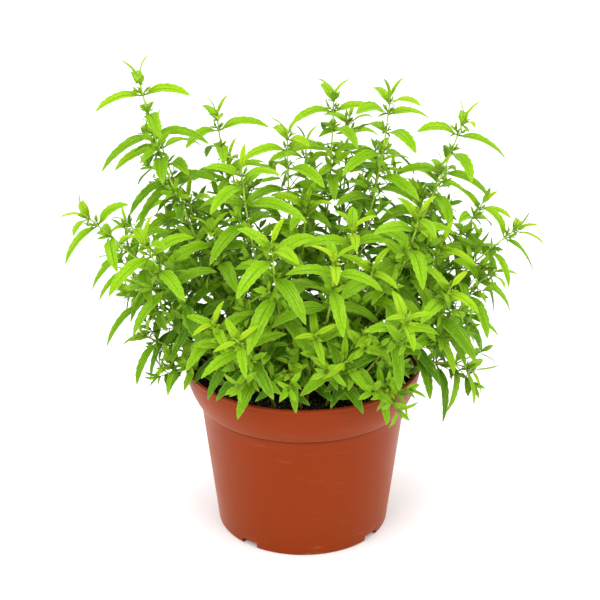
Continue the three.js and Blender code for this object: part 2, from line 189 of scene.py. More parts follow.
class GrowthTree(Tree):
    """A geometry node tree with named inputs."""

    def __init__(self, name: str, inputs: dict[str, tuple[str, Any]]) -> None:
        """Start a tree with one geometry input, named inputs and one output.

        Args:
            name: The tree's name.
            inputs: Each input's socket type and default, by its name.
        """
        super().__init__(bpy.data.node_groups.new(name, "GeometryNodeTree"))
        face = self.tree.interface
        face.new_socket("Geometry", in_out="INPUT", socket_type="NodeSocketGeometry")
        for label, (socket_type, default) in inputs.items():
            socket = face.new_socket(label, in_out="INPUT", socket_type=socket_type)
            if default is not None:
                socket.default_value = default
        face.new_socket("Geometry", in_out="OUTPUT", socket_type="NodeSocketGeometry")
        self.given = self.add("NodeGroupInput").outputs

    def named(self, name: str, data_type: str = "FLOAT") -> Socket:
        """The value of a named attribute."""
        return self.live(self.add("GeometryNodeInputNamedAttribute", name, data_type=data_type))

    def random(self, seed: int, low: Any, high: Any,
               data_type: str = "FLOAT") -> Socket:
        """A random value from low to high for each point."""
        return self.live(self.add("FunctionNodeRandomValue", low, high, None, seed,
                                  data_type=data_type))

    def part(self, geometry: Any, kind: Kind) -> Socket:
        """The vertices of one kind, with the edges between them.

        Args:
            geometry: The skeleton.
            kind: The kind.

        Returns:
            That part of the skeleton.
        """
        same = self.add("FunctionNodeCompare", self.named("kind", "INT"), kind.value,
                        data_type="INT", operation="EQUAL").outputs[0]
        return self.add("GeometryNodeSeparateGeometry", geometry, same,
                        domain="POINT").outputs["Selection"]

    def curve(self, mesh: Any) -> Socket:
        """Chains of edges as smooth curves through their vertices.

        Args:
            mesh: The chains.

        Returns:
            The curves.
        """
        chains = self.add("GeometryNodeMeshToCurve", mesh).outputs[0]
        return self.add("GeometryNodeCurveSplineType", chains,
                        spline_type="CATMULL_ROM").outputs[0]

    def store(self, geometry: Any, name: str, value: Any) -> Socket:
        """The geometry with a named number stored on its points."""
        return self.add("GeometryNodeStoreNamedAttribute", geometry, None, name, value,
                        data_type="FLOAT", domain="POINT").outputs[0]

    def smooth(self, mesh: Any) -> Socket:
        """The mesh with smooth shading."""
        return self.add("GeometryNodeSetShadeSmooth", mesh, None, True, domain="FACE").outputs[0]

    def dress(self, mesh: Any, given: str) -> Socket:
        """The mesh with the material that a tree's input gives."""
        return self.add("GeometryNodeSetMaterial", mesh, None, self.given[given]).outputs[0]

    def scatter(self, points: Any, given: str, *placing: Any) -> Socket:
        """Set shapes from a collection on points.

        Args:
            points: Where they go.
            given: The tree's input that holds the collection.
            placing: The shape's number, its rotation and its scale at each point.

        Returns:
            The shapes as one mesh.
        """
        shelf = self.add("GeometryNodeCollectionInfo", self.given[given], True, True).outputs[0]
        placed = self.add("GeometryNodeInstanceOnPoints", points, None, shelf, True, *placing)
        return self.add("GeometryNodeRealizeInstances", placed.outputs[0]).outputs[0]

    def close(self, geometry: Any) -> None:
        """Realize any instances and connect the tree's output."""
        self.add("NodeGroupOutput", self.add("GeometryNodeRealizeInstances", geometry).outputs[0])

    def apply(self, carrier: bpy.types.Object, name: str,
              values: dict[str, Any]) -> bpy.types.Object:
        """Run the tree on a carrier and keep the result as a plain mesh.

        Args:
            carrier: The object that holds the input geometry; it is removed.
            name: The name of the result.
            values: The tree's inputs by name.

        Returns:
            A new object at the origin with the resulting mesh.
        """
        modifier = carrier.modifiers.new(self.tree.name, "NODES")
        modifier.node_group = self.tree
        for item in self.tree.interface.items_tree:
            if item.in_out == "INPUT" and item.name in values:
                modifier[item.identifier] = values[item.name]
        mesh = evaluated(carrier)
        bpy.data.objects.remove(carrier)
        mesh.name = name
        return place(name, mesh)


def stored(name: str, skin: bmesh.types.BMesh) -> bpy.types.Mesh:
    """Store a working mesh under a name and free it.

    Args:
        name: The name.
        skin: The working mesh.

    Returns:
        The stored mesh.
    """
    mesh = bpy.data.meshes.new(name)
    skin.to_mesh(mesh)
    skin.free()
    return mesh


def mark(mesh: bpy.types.Mesh, name: str, values: Sequence[Any], data_type: str = "FLOAT") -> None:
    """Give a mesh's vertices a named attribute.

    Args:
        mesh: The mesh.
        name: The attribute's name.
        values: A value for each vertex.
        data_type: What a value is.
    """
    layer = mesh.attributes.new(name, data_type, "POINT")
    if data_type == "FLOAT_VECTOR":
        layer.data.foreach_set("vector", [part for value in values for part in value])
    else:
        layer.data.foreach_set("value", values)


def evaluated(thing: bpy.types.Object) -> bpy.types.Mesh:
    """The mesh that an object's modifiers make of it."""
    graph = bpy.context.evaluated_depsgraph_get()
    return bpy.data.meshes.new_from_object(thing.evaluated_get(graph))


def place(name: str, data: Any) -> bpy.types.Object:
    """Put a mesh, light or camera in the scene as an object at the origin.

    Args:
        name: The object's name.
        data: What it shows.

    Returns:
        The object.
    """
    thing = bpy.data.objects.new(name, data)
    bpy.context.scene.collection.objects.link(thing)
    return thing


def shelve(name: str, meshes: Iterable[bpy.types.Mesh]) -> bpy.types.Collection:
    """Keep meshes in a collection outside the scene, in their order.

    Args:
        name: The collection's name.
        meshes: The meshes.

    Returns:
        The collection.
    """
    shelf = bpy.data.collections.new(name)
    for mesh in meshes:
        shelf.objects.link(bpy.data.objects.new(mesh.name, mesh))
    return shelf


def polar(radius: float, angle: float, z: float) -> tuple[float, float, float]:
    """The place at a radius and an angle about the pot's axis."""
    return (radius * math.cos(angle), radius * math.sin(angle), z)


def clear(shelf: bpy.types.Collection) -> None:
    """Remove a collection with its objects.

    Args:
        shelf: The collection.
    """
    for thing in list(shelf.objects):
        bpy.data.objects.remove(thing)
    bpy.data.collections.remove(shelf)


def finish_piece(thing: bpy.types.Object, slot: Slot, *nodes: str) -> None:
    """Fasten a piece to the plant's body and report it.

    Args:
        thing: The finished piece.
        slot: The record's slot for the piece; it is not used.
        nodes: The frame's nodes it stands for.
    """
    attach(thing, BODY)
    if nodes:
        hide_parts(*nodes)
    LOG.info("%s: %d faces", thing.name, len(thing.data.polygons))


# ---- Finishes ---------------------------------------------------------------


class ShaderTree(Tree):
    """The node tree of a material around one Principled shader."""

    def __init__(self, name: str) -> None:
        """Make a material and its shader.

        Args:
            name: The material's name.
        """
        self.material = bpy.data.materials.new(name)
        self.material.use_nodes = True
        super().__init__(self.material.node_tree)
        self.shader = self.add("ShaderNodeBsdfPrincipled")
        self.output = self.add("ShaderNodeOutputMaterial")
        self.tree.links.new(self.shader.outputs[0], self.output.inputs["Surface"])

    def set(self, **values: Any) -> None:
        """Feed the shader's sockets, named with underscores for spaces."""
        for name, value in values.items():
            self.feed(self.shader.inputs[name.replace("_", " ")], value)

    def attribute(self, name: str) -> Socket:
        """Read one of the piece's own attributes as a number."""
        return self.add("ShaderNodeAttribute", attribute_name=name).outputs["Fac"]

    def place(self) -> Socket:
        """The position on the piece in metres."""
        return self.add("ShaderNodeTexCoord").outputs["Object"]

    def height(self) -> Socket:
        """The height of the position on the piece."""
        return self.add("ShaderNodeSeparateXYZ", self.place()).outputs["Z"]

    def mix(self, factor: Any, first: Any, second: Any) -> Socket:
        """Mix two colours.

        Args:
            factor: The share of the second.
            first: A colour.
            second: Another colour.

        Returns:
            The mixed colour.
        """
        node = self.add("ShaderNodeMix", data_type="RGBA", blend_type="MIX")
        for name, value in (("Factor", factor), ("A", first), ("B", second)):
            self.feed(node.inputs[name], value)
        return node.outputs["Result"]

    def noise(self, scale: float, detail: float = 3.0,
              at: Any = None) -> Socket:
        """Smooth random values over the piece.

        Args:
            scale: How many features there are in a metre.
            detail: How many finer layers are added.
            at: The coordinates, or None for the position on the piece.

        Returns:
            A value around one half.
        """
        node = self.add("ShaderNodeTexNoise", at or self.place(), noise_dimensions="3D")
        node.inputs["Scale"].default_value = scale
        node.inputs["Detail"].default_value = detail
        return node.outputs["Fac"]

    def bump(self, height: Any, distance: float, strength: float = 1.0) -> None:
        """Raise the surface by a height.

        Args:
            height: The height field, from 0 to 1.
            distance: The height that 1 stands for, in metres.
            strength: The share of the effect.
        """
        node = self.add("ShaderNodeBump")
        node.inputs["Strength"].default_value = strength
        node.inputs["Distance"].default_value = distance
        self.feed(node.inputs["Height"], height)
        self.set(Normal=node.outputs[0])


@dataclass(frozen=True)
class LeafFinish:
    """A fresh leaf: darker with age, with a groove along the midrib and a pale back."""

    young: Colour = rgb(186, 214, 4)
    grown: Colour = rgb(136, 188, 0)
    deep: Colour = rgb(62, 116, 0)
    back: Colour = rgb(132, 172, 70)
    vein: Colour = rgb(178, 206, 80)
    roughness: float = 0.5
    shine: float = 0.07
    glow: float = 0.3
    side_veins: float = 11.0
    vein_slant: float = 0.07
    relief: float = 0.3 * MM

    def build(self) -> bpy.types.Material:
        """Make the leaf material, from each point's age and its place on the blade.

        Returns:
            The material.
        """
        tree = ShaderTree("herb_leaf")
        tone, across, along, under = map(tree.attribute, ("tone", "across", "along", "under"))
        aside = tree.math("ABSOLUTE", across)
        ripe = tree.mix(tree.ramp(tone, 0.0, 0.5), self.young, self.grown)
        colour = tree.mix(tree.ramp(tone, 0.5, 1.0), ripe, self.deep)
        streak = tree.noise(1.0, 4.0, self.lengthwise(tree, across, along))
        slant = tree.math("SUBTRACT", along, tree.times(aside, self.vein_slant))
        wave = tree.math("PINGPONG", tree.times(slant, self.side_veins), 0.5)
        side_vein = tree.ramp(wave, 0.0, 0.14, 1.0, 0.0)
        layers = (
            (tree.ramp(tree.noise(700.0), 0.4, 0.7), 0.25, self.grown),
            (tree.ramp(streak, 0.5, 0.68), 0.4, self.vein),
            (tree.ramp(streak, 0.32, 0.48, 1.0, 0.0), 0.35, self.deep),
            (side_vein, 0.22, self.deep),
            (tree.ramp(aside, 0.08, 0.3, 1.0, 0.0), 0.2, self.vein),
            (tree.ramp(aside, 0.02, 0.12, 1.0, 0.0), 0.7, self.deep),
            (tree.ramp(aside, 0.8, 1.0), 0.4, self.vein),
            (tree.ramp(along, 0.85, 1.0), 0.25, self.vein),
            (under, 0.6, self.back),
        )
        for mask, share, tint in layers:
            colour = tree.mix(tree.times(mask, share), colour, tint)
        height = tree.times(side_vein, -0.5)
        for part in (tree.noise(1500.0), streak):
            height = tree.math("ADD", height, tree.times(part, 0.5))
        tree.bump(height, self.relief, 0.7)
        tree.set(Base_Color=colour, Roughness=self.roughness, Specular_IOR_Level=self.shine)
        self.add_glow(tree, colour)
        return tree.material

    @staticmethod
    def lengthwise(tree: ShaderTree, across: Any, along: Any) -> Socket:
        """Coordinates that draw noise out along the blade, and differ from leaf to leaf.

        Args:
            tree: The material's tree.
            across: The place across the blade.
            along: The place along it.

        Returns:
            The coordinates.
        """
        scaled = [tree.times(value, scale)
                  for value, scale in ((across, 5.0), (along, 2.6), (tree.height(), 90.0))]
        return tree.add("ShaderNodeCombineXYZ", *scaled).outputs[0]

    def add_glow(self, tree: ShaderTree, colour: Any) -> None:
        """Let light through the blade.

        Args:
            tree: The material's tree.
            colour: The blade's colour.
        """
        warm = tree.mix(0.35, colour, self.young)
        glow = tree.add("ShaderNodeBsdfTranslucent", warm).outputs[0]
        mixed = tree.add("ShaderNodeMixShader", self.glow, tree.shader.outputs[0], glow)
        tree.tree.links.new(mixed.outputs[0], tree.output.inputs["Surface"])


@dataclass(frozen=True)
class StemFinish:
    """A young square stem, green at the top and browner and woodier at its foot."""

    green: Colour = rgb(150, 182, 46)
    woody: Colour = rgb(128, 96, 44)
    ridge: Colour = rgb(172, 200, 82)
    roughness: float = 0.55
    shine: float = 0.3
    relief: float = 0.3 * MM
    soil_height: float = 96 * MM
    wood_height: float = 151 * MM

    def build(self) -> bpy.types.Material:
        """Make the stem material.

        Returns:
            The material.
        """
        tree = ShaderTree("herb_stem")
        speckle = tree.noise(900.0)
        low = tree.ramp(tree.height(), self.soil_height, self.wood_height, 1.0, 0.0)
        wood = tree.times(low, tree.ramp(speckle, 0.3, 0.6, 0.35, 0.9))
        colour = tree.mix(tree.ramp(speckle, 0.4, 0.75), self.green, self.ridge)
        colour = tree.mix(wood, colour, self.woody)
        tree.bump(speckle, self.relief, 0.5)
        tree.set(Base_Color=colour, Roughness=self.roughness, Specular_IOR_Level=self.shine)
        return tree.material


@dataclass(frozen=True)
class PotFinish:
    """Moulded terracotta-coloured plastic with a soft sheen, fine rings, dust, and a painted shade
    band under the collar's foot.
    """

    base: Colour = rgb(120, 39, 1)
    worn: Colour = rgb(128, 51, 9)
    dust: Colour = rgb(150, 92, 60)
    # seam: the colour of a painted shade band just under the collar's foot, standing in for the
    # shade of its overhang.
    seam: Colour = rgb(62, 20, 3)
    roughness: float = 0.36
    shine: float = 0.08
    bloom: float = 0.2
    bloom_tint: Colour = rgb(255, 176, 120)
    foot_band: float = 14 * MM
    collar_shade_top: float = 81.3 * MM
    collar_shade_height: float = 3.0 * MM
    collar_shade_fade: float = 0.3 * MM
    ring_rate: float = 5200.0
    relief: float = 0.05 * MM

    def build(self) -> bpy.types.Material:
        """Make the pot material.

        Returns:
            The material.
        """
        tree = ShaderTree("pot_terracotta_plastic")
        height = tree.height()
        cloud = tree.noise(22.0, 4.0)
        grain = tree.noise(2600.0, 2.0)
        scuffs = tree.add("ShaderNodeTexNoise", self.stretched(tree))
        scuffs.inputs["Scale"].default_value = 60.0
        scuff = tree.ramp(scuffs.outputs["Fac"], 0.62, 0.74)
        low = tree.ramp(height, 0.0, self.foot_band, 1.0, 0.0)
        scuff = tree.times(scuff, tree.math("ADD", tree.times(low, 0.5), 0.12))
        colour = tree.mix(tree.times(cloud, 0.35), self.base, self.worn)
        colour = tree.mix(scuff, colour, self.dust)
        # Painted shade: a dark band below the collar's foot that fades out just above it.
        below = tree.ramp(height, self.collar_shade_top - self.collar_shade_height, self.collar_shade_top)
        above = tree.ramp(height, self.collar_shade_top, self.collar_shade_top + self.collar_shade_fade, 0.75, 0.0)
        colour = tree.mix(tree.times(below, above), colour, self.seam)
        rings = tree.math("SINE", tree.times(height, self.ring_rate))
        rings = tree.times(rings, tree.math("ADD", tree.times(low, 0.35), 0.02))
        relief = tree.math("ADD", rings, tree.times(grain, 0.25))
        tree.bump(relief, self.relief, 0.7)
        rough = tree.ramp(cloud, 0.3, 0.7, self.roughness - 0.05, self.roughness + 0.08)
        rough = tree.math("ADD", rough, tree.times(scuff, 0.3))
        tree.set(Base_Color=colour, Roughness=rough, Specular_IOR_Level=self.shine,
                 Sheen_Weight=self.bloom, Sheen_Roughness=0.45, Sheen_Tint=self.bloom_tint)
        return tree.material

    @staticmethod
    def stretched(tree: ShaderTree) -> Socket:
        """Coordinates that draw noise out sideways, as scuffs on a turned pot are."""
        return tree.add("ShaderNodeMapping", tree.place(), None, None, (1.0, 1.0, 9.0)).outputs[0]


@dataclass(frozen=True)
class SoilFinish:
    """Damp dark compost with brown fibres and a few pale grains."""

    dark: Colour = rgb(15, 11, 9)
    brown: Colour = rgb(42, 30, 18)
    pale: Colour = rgb(134, 118, 66)
    roughness: float = 0.88
    shine: float = 0.25
    relief: float = 1.2 * MM

    def build(self) -> bpy.types.Material:
        """Make the compost material.

        Returns:
            The material.
        """
        tree = ShaderTree("damp_compost")
        crumbs = tree.noise(380.0, 6.0)
        grains = tree.add("ShaderNodeTexVoronoi", tree.place())
        grains.inputs["Scale"].default_value = 520.0
        speck = tree.ramp(grains.outputs["Distance"], 0.1, 0.2, 1.0, 0.0)
        few = tree.ramp(tree.noise(160.0), 0.56, 0.66)
        tint = tree.attribute("tint")
        colour = tree.mix(tree.ramp(crumbs, 0.4, 0.75), self.dark, self.brown)
        colour = tree.mix(tree.times(speck, few), colour, self.pale)
        colour = tree.mix(tree.ramp(tint, 0.5, 0.95, 0.0, 0.85), colour, self.pale)
        tree.bump(crumbs, self.relief, 0.9)
        tree.set(Base_Color=colour, Roughness=self.roughness, Specular_IOR_Level=self.shine)
        return tree.material


# ---- Reading the frame's shoots ----------------------------------------------


@dataclass
class Blade:
    """One leaf of the frame: its sections' centres, upper side, size, stem and rank.

    The rank runs from 0 at the tip of the shoot to 1 at its foot.
    """

    points: list[Vector]
    upper: Vector
    half_width: float
    axis: Vector
    rank: float

    @property
    def outward(self) -> Vector:
        """The direction in which the leaf leaves its stem."""
        return (self.points[1] - self.points[0]).normalized()


@dataclass
class Shoot:
    """One shoot of the frame: its stem from the foot to the tip, and its leaves."""

    name: str
    centres: list[Vector]
    halves: list[float]
    blades: list[Blade] = field(default_factory=list)


class ShootReader:
    """Reads a shoot's stem and leaves back from its node's closed mesh.

    Every section of the mesh has four corners. A leaf's tip is a point of four
    edges, behind it come two flat sections and then a side of the stem.
    """

    MERGE = 2e-6
    THICKEST_LEAF = 0.7 * MM
    FLATTEST = 2
    CORNERS = 4

    def __init__(self, node: bpy.types.Object) -> None:
        """Merge the node's loose triangles into one skin.

        Args:
            node: The frame's node.
        """
        self.name = node.name
        self.skin = bmesh.new()
        self.skin.from_mesh(node.data)
        bmesh.ops.remove_doubles(self.skin, verts=self.skin.verts, dist=self.MERGE)

    @staticmethod
    def ordered(corners: Iterable[bmesh.types.BMVert]) -> list[bmesh.types.BMVert]:
        """Some corners sorted by place, whatever order the mesh keeps them in."""
        return sorted(corners, key=lambda corner: corner.co.to_tuple())

    @staticmethod
    def around(corners: Iterable[bmesh.types.BMVert]) -> set[bmesh.types.BMVert]:
        """The vertices one edge away from a set of corners, without the set.

        Args:
            corners: The corners.

        Returns:
            Their neighbours.
        """
        inside = set(corners)
        near = {edge.other_vert(corner) for corner in inside for edge in corner.link_edges}
        return near - inside

    def centre(self, corners: Iterable[bmesh.types.BMVert]) -> Vector:
        """The middle of some corners."""
        points = [corner.co for corner in self.ordered(corners)]
        return sum(points, Vector()) / len(points)

    def sides(self, corners: Iterable[bmesh.types.BMVert]) -> tuple[Vector, Vector]:
        """The long and the short side of a four-cornered section, as vectors.

        Args:
            corners: The section.

        Returns:
            The long side, then the short one.
        """
        first, *others = self.ordered(corners)
        others.sort(key=lambda corner: (corner.co - first.co).length)
        return others[1].co - first.co, others[0].co - first.co

    def read(self) -> Shoot:
        """Read the whole shoot.

        Returns:
            The shoot with its stem and leaves.
        """
        tips = self.ordered(v for v in self.skin.verts if len(v.link_edges) == self.CORNERS)
        leaves = [rings for rings in map(self.leaf_rings, tips) if rings]
        taken = {corner for rings in leaves for ring in rings[:3] for corner in ring}
        stem = sorted((v for v in self.skin.verts if v not in taken), key=lambda v: v.co.z)
        centres, halves = self.walk_stem(set(stem[:self.CORNERS]), taken)
        shoot = Shoot(self.name, centres, halves)
        shoot.blades = [self.blade(rings, centres) for rings in leaves]
        self.skin.free()
        return shoot

    def leaf_rings(self, tip: bmesh.types.BMVert) -> list[set[bmesh.types.BMVert]]:
        """The sections behind a leaf's tip, or nothing if the tip is the stem's.

        Args:
            tip: A vertex with four edges.

        Returns:
            The tip, the two flat sections and the side of the stem, in that order.
        """
        rings = [{tip}]
        seen = {tip}
        for _ in range(3):
            ring = self.around(rings[-1]) - seen
            seen |= ring
            rings.append(ring)
            if len(ring) != self.CORNERS:
                return []
        long_side, short_side = self.sides(rings[1])
        thin = short_side.length < self.THICKEST_LEAF
        return rings if thin and long_side.length > self.FLATTEST * short_side.length else []

    def walk_stem(self, root: set[bmesh.types.BMVert],
                  leaves: set[bmesh.types.BMVert]) -> tuple[list[Vector], list[float]]:
        """Walk up the stem's sections from its root.

        Args:
            root: The four lowest corners.
            leaves: Every vertex that belongs to a leaf.

        Returns:
            The centres of the sections and half of their sides.
        """
        ring, seen = root, set(root)
        centres, halves = [], []
        while ring:
            centres.append(self.centre(ring))
            _, short_side = self.sides(ring) if len(ring) == self.CORNERS else (None, Vector())
            halves.append(short_side.length / 2)
            ring = self.around(ring) - seen - leaves
            seen |= ring
        return centres, halves

    def blade(self, rings: list[set[bmesh.types.BMVert]], centres: list[Vector]) -> Blade:
        """Turn a leaf's sections into a blade.

        Args:
            rings: The leaf's sections, from its tip to the stem.
            centres: The stem's centres.

        Returns:
            The blade, from the stem to its tip.
        """
        points = [self.centre(ring) for ring in reversed(rings)]
        near = min(range(len(centres) - 1),
                   key=lambda i: ((centres[i] + centres[i + 1]) / 2 - points[0]).length)
        axis = (centres[near + 1] - centres[near]).normalized()
        long_side, _ = self.sides(rings[2])
        forward = (points[2] - points[1]).normalized()
        upper = forward.cross(long_side).normalized()
        if upper.dot(axis) < 0:
            upper.negate()
        rank = 1.0 - (near + 0.5) / (len(centres) - 1)
        return Blade(points, upper, long_side.length / 2, axis, rank)


# ---- The plant ----------------------------------------------------------------


@dataclass
class BladeSection:
    """The cross section of a leaf, with its half width as the unit."""

    margin_rise: float = 0.24
    bulge: float = 0.18
    groove: float = 0.0
    keel: float = 0.1

    def corners(self) -> list[tuple[float, float, float]]:
        """Across, up, and one where the corner is on the back of the leaf."""
        return [
            (-1.0, self.margin_rise, 0.5),
            (-0.5, self.bulge, 0.0),
            (0.0, self.groove, 0.0),
            (0.5, self.bulge, 0.0),
            (1.0, self.margin_rise, 0.5),
            (0.0, -self.keel, 1.0),
        ]

    def build(self, name: str) -> bpy.types.Object:
        """Make the closed outline as a loop of edges, with X on the leaf's upper side.

        Args:
            name: The helper object's name.

        Returns:
            The helper object, which is removed once the shoots are grown.
        """
        corners = self.corners()
        mesh = bpy.data.meshes.new(name)
        edges = [(i, (i + 1) % len(corners)) for i in range(len(corners))]
        mesh.from_pydata([(up, -across, 0.0) for across, up, _ in corners], edges, [])
        mark(mesh, "across", [across for across, _, _ in corners])
        mark(mesh, "under", [back for _, _, back in corners])
        return place(name, mesh)


@dataclass(frozen=True)
class LeafPair:
    """A pair of opposite small leaves of a sprig."""

    height: float
    length: float
    lean: float
    turn: float


class SprigHabit(Enum):
    """How a sprig has grown: still a tuft, or already a short side shoot."""

    TUFT = (LeafPair(0.0, 6.5 * MM, 64, 0), LeafPair(1.2 * MM, 5.5 * MM, 44, 90),
            LeafPair(2.4 * MM, 4.5 * MM, 18, 10))
    SIDE_SHOOT = (LeafPair(3 * MM, 10 * MM, 68, 0), LeafPair(8 * MM, 13 * MM, 60, 90),
                  LeafPair(12 * MM, 11 * MM, 42, 5), LeafPair(13.5 * MM, 8 * MM, 18, 95))


# A ring's corners, each with its across, along and under coordinates on the leaf.
MarkedRing = list[tuple[Vector, tuple[float, float, float]]]


@dataclass
class SprigMaker:
    """Small side shoots that sit in the corner between a leaf and its stem."""

    slenderness: float = 0.31
    stations: Sequence[tuple[float, float]] = ((0.0, 0.25), (0.32, 0.97), (0.68, 0.84), (1.0, 0.08))
    bend: float = 0.1
    turn_spread: float = 18.0
    lean_spread: float = 10.0
    length_spread: Sequence[float] = (0.75, 1.15)
    arch_spread: Sequence[float] = (0.05, 0.3)
    stem_radius: float = 0.32 * MM
    sink: float = 0.5 * MM
    variants: int = 3
    seed: int = 11

    def build(self) -> bpy.types.Collection:
        """Make the variants of both habits in a collection, tufts first.

        Returns:
            The collection, which is removed once the shoots are grown.
        """
        draw = random.Random(self.seed)
        return shelve("sprigs", [self.sprig(f"sprig_{order}_{number}", habit.value, draw)
                                 for order, habit in enumerate(SprigHabit)
                                 for number in range(self.variants)])

    def sprig(self, name: str, pairs: Sequence[LeafPair], draw: random.Random) -> bpy.types.Mesh:
        """Make one sprig: its pairs of leaves and its stem, a thin closed prism.

        Args:
            name: The mesh's name.
            pairs: The pairs, from its foot to its tip.
            draw: The random source.

        Returns:
            The mesh.
        """
        skin = bmesh.new()
        marks = [skin.verts.layers.float.new(label) for label in ("across", "along", "under")]
        for pair in pairs:
            for half_turn in (0.0, 180.0):
                turn = pair.turn + half_turn + draw.uniform(-self.turn_spread, self.turn_spread)
                lean = pair.lean + draw.uniform(-self.lean_spread, self.lean_spread)
                pose = (Matrix.Translation((0.0, 0.0, pair.height))
                        @ Matrix.Rotation(math.radians(turn), 4, "Z")
                        @ Matrix.Rotation(math.radians(lean), 4, "Y"))
                length = pair.length * draw.uniform(*self.length_spread)
                arch = draw.uniform(*self.arch_spread)
                self.close_rings(skin, marks, self.leaf(pose, length, arch))
        radius = self.stem_radius
        corners = ((radius, 0.0), (0.0, radius), (-radius, 0.0), (0.0, -radius))
        self.close_rings(skin, marks, [[(Vector((x, y, z)), (0.0, 0.0, 1.0)) for x, y in corners]
                                       for z in (-self.sink, pairs[-1].height)])
        return stored(name, skin)

    def leaf(self, pose: Matrix, length: float, arch: float) -> list[MarkedRing]:
        """The sections of a small leaf that grows along Z and arches towards X.

        Args:
            pose: Where the leaf stands.
            length: Its length.
            arch: How far its tip bends over, as a share of its length.

        Returns:
            The sections, from the leaf's foot to its tip.
        """
        corners = BladeSection().corners()
        rings = []
        for along, share in self.stations:
            half = length * self.slenderness / 2 * share
            centre = Vector((length * arch * along * along, 0.0,
                             length * along * (1 - self.bend * along)))
            tilt = Matrix.Rotation(math.atan(2 * arch * along), 3, "Y")
            rings.append([(pose @ (centre + tilt @ Vector((-up * half, -across * half, 0.0))),
                           (across, along, back))
                          for across, up, back in (corners[i] for i in (0, 2, 4, 5))])
        return rings

    @staticmethod
    def close_rings(skin: bmesh.types.BMesh, marks: Sequence[Any], rings: list[MarkedRing]) -> None:
        """Skin a row of rings and cap both ends.

        Args:
            skin: The mesh to add to.
            marks: The layers for the leaf coordinates.
            rings: The rings, anticlockwise seen from the last one.
        """
        made = []
        for ring in rings:
            made.append([skin.verts.new(at) for at, _ in ring])
            for corner, (_, values) in zip(made[-1], ring):
                for layer, value in zip(marks, values):
                    corner[layer] = value
        for lower, upper in zip(made, made[1:]):
            for i in range(len(lower)):
                j = (i + 1) % len(lower)
                skin.faces.new((lower[i], lower[j], upper[j], upper[i])).smooth = True
        skin.faces.new(reversed(made[0]))
        skin.faces.new(made[-1])


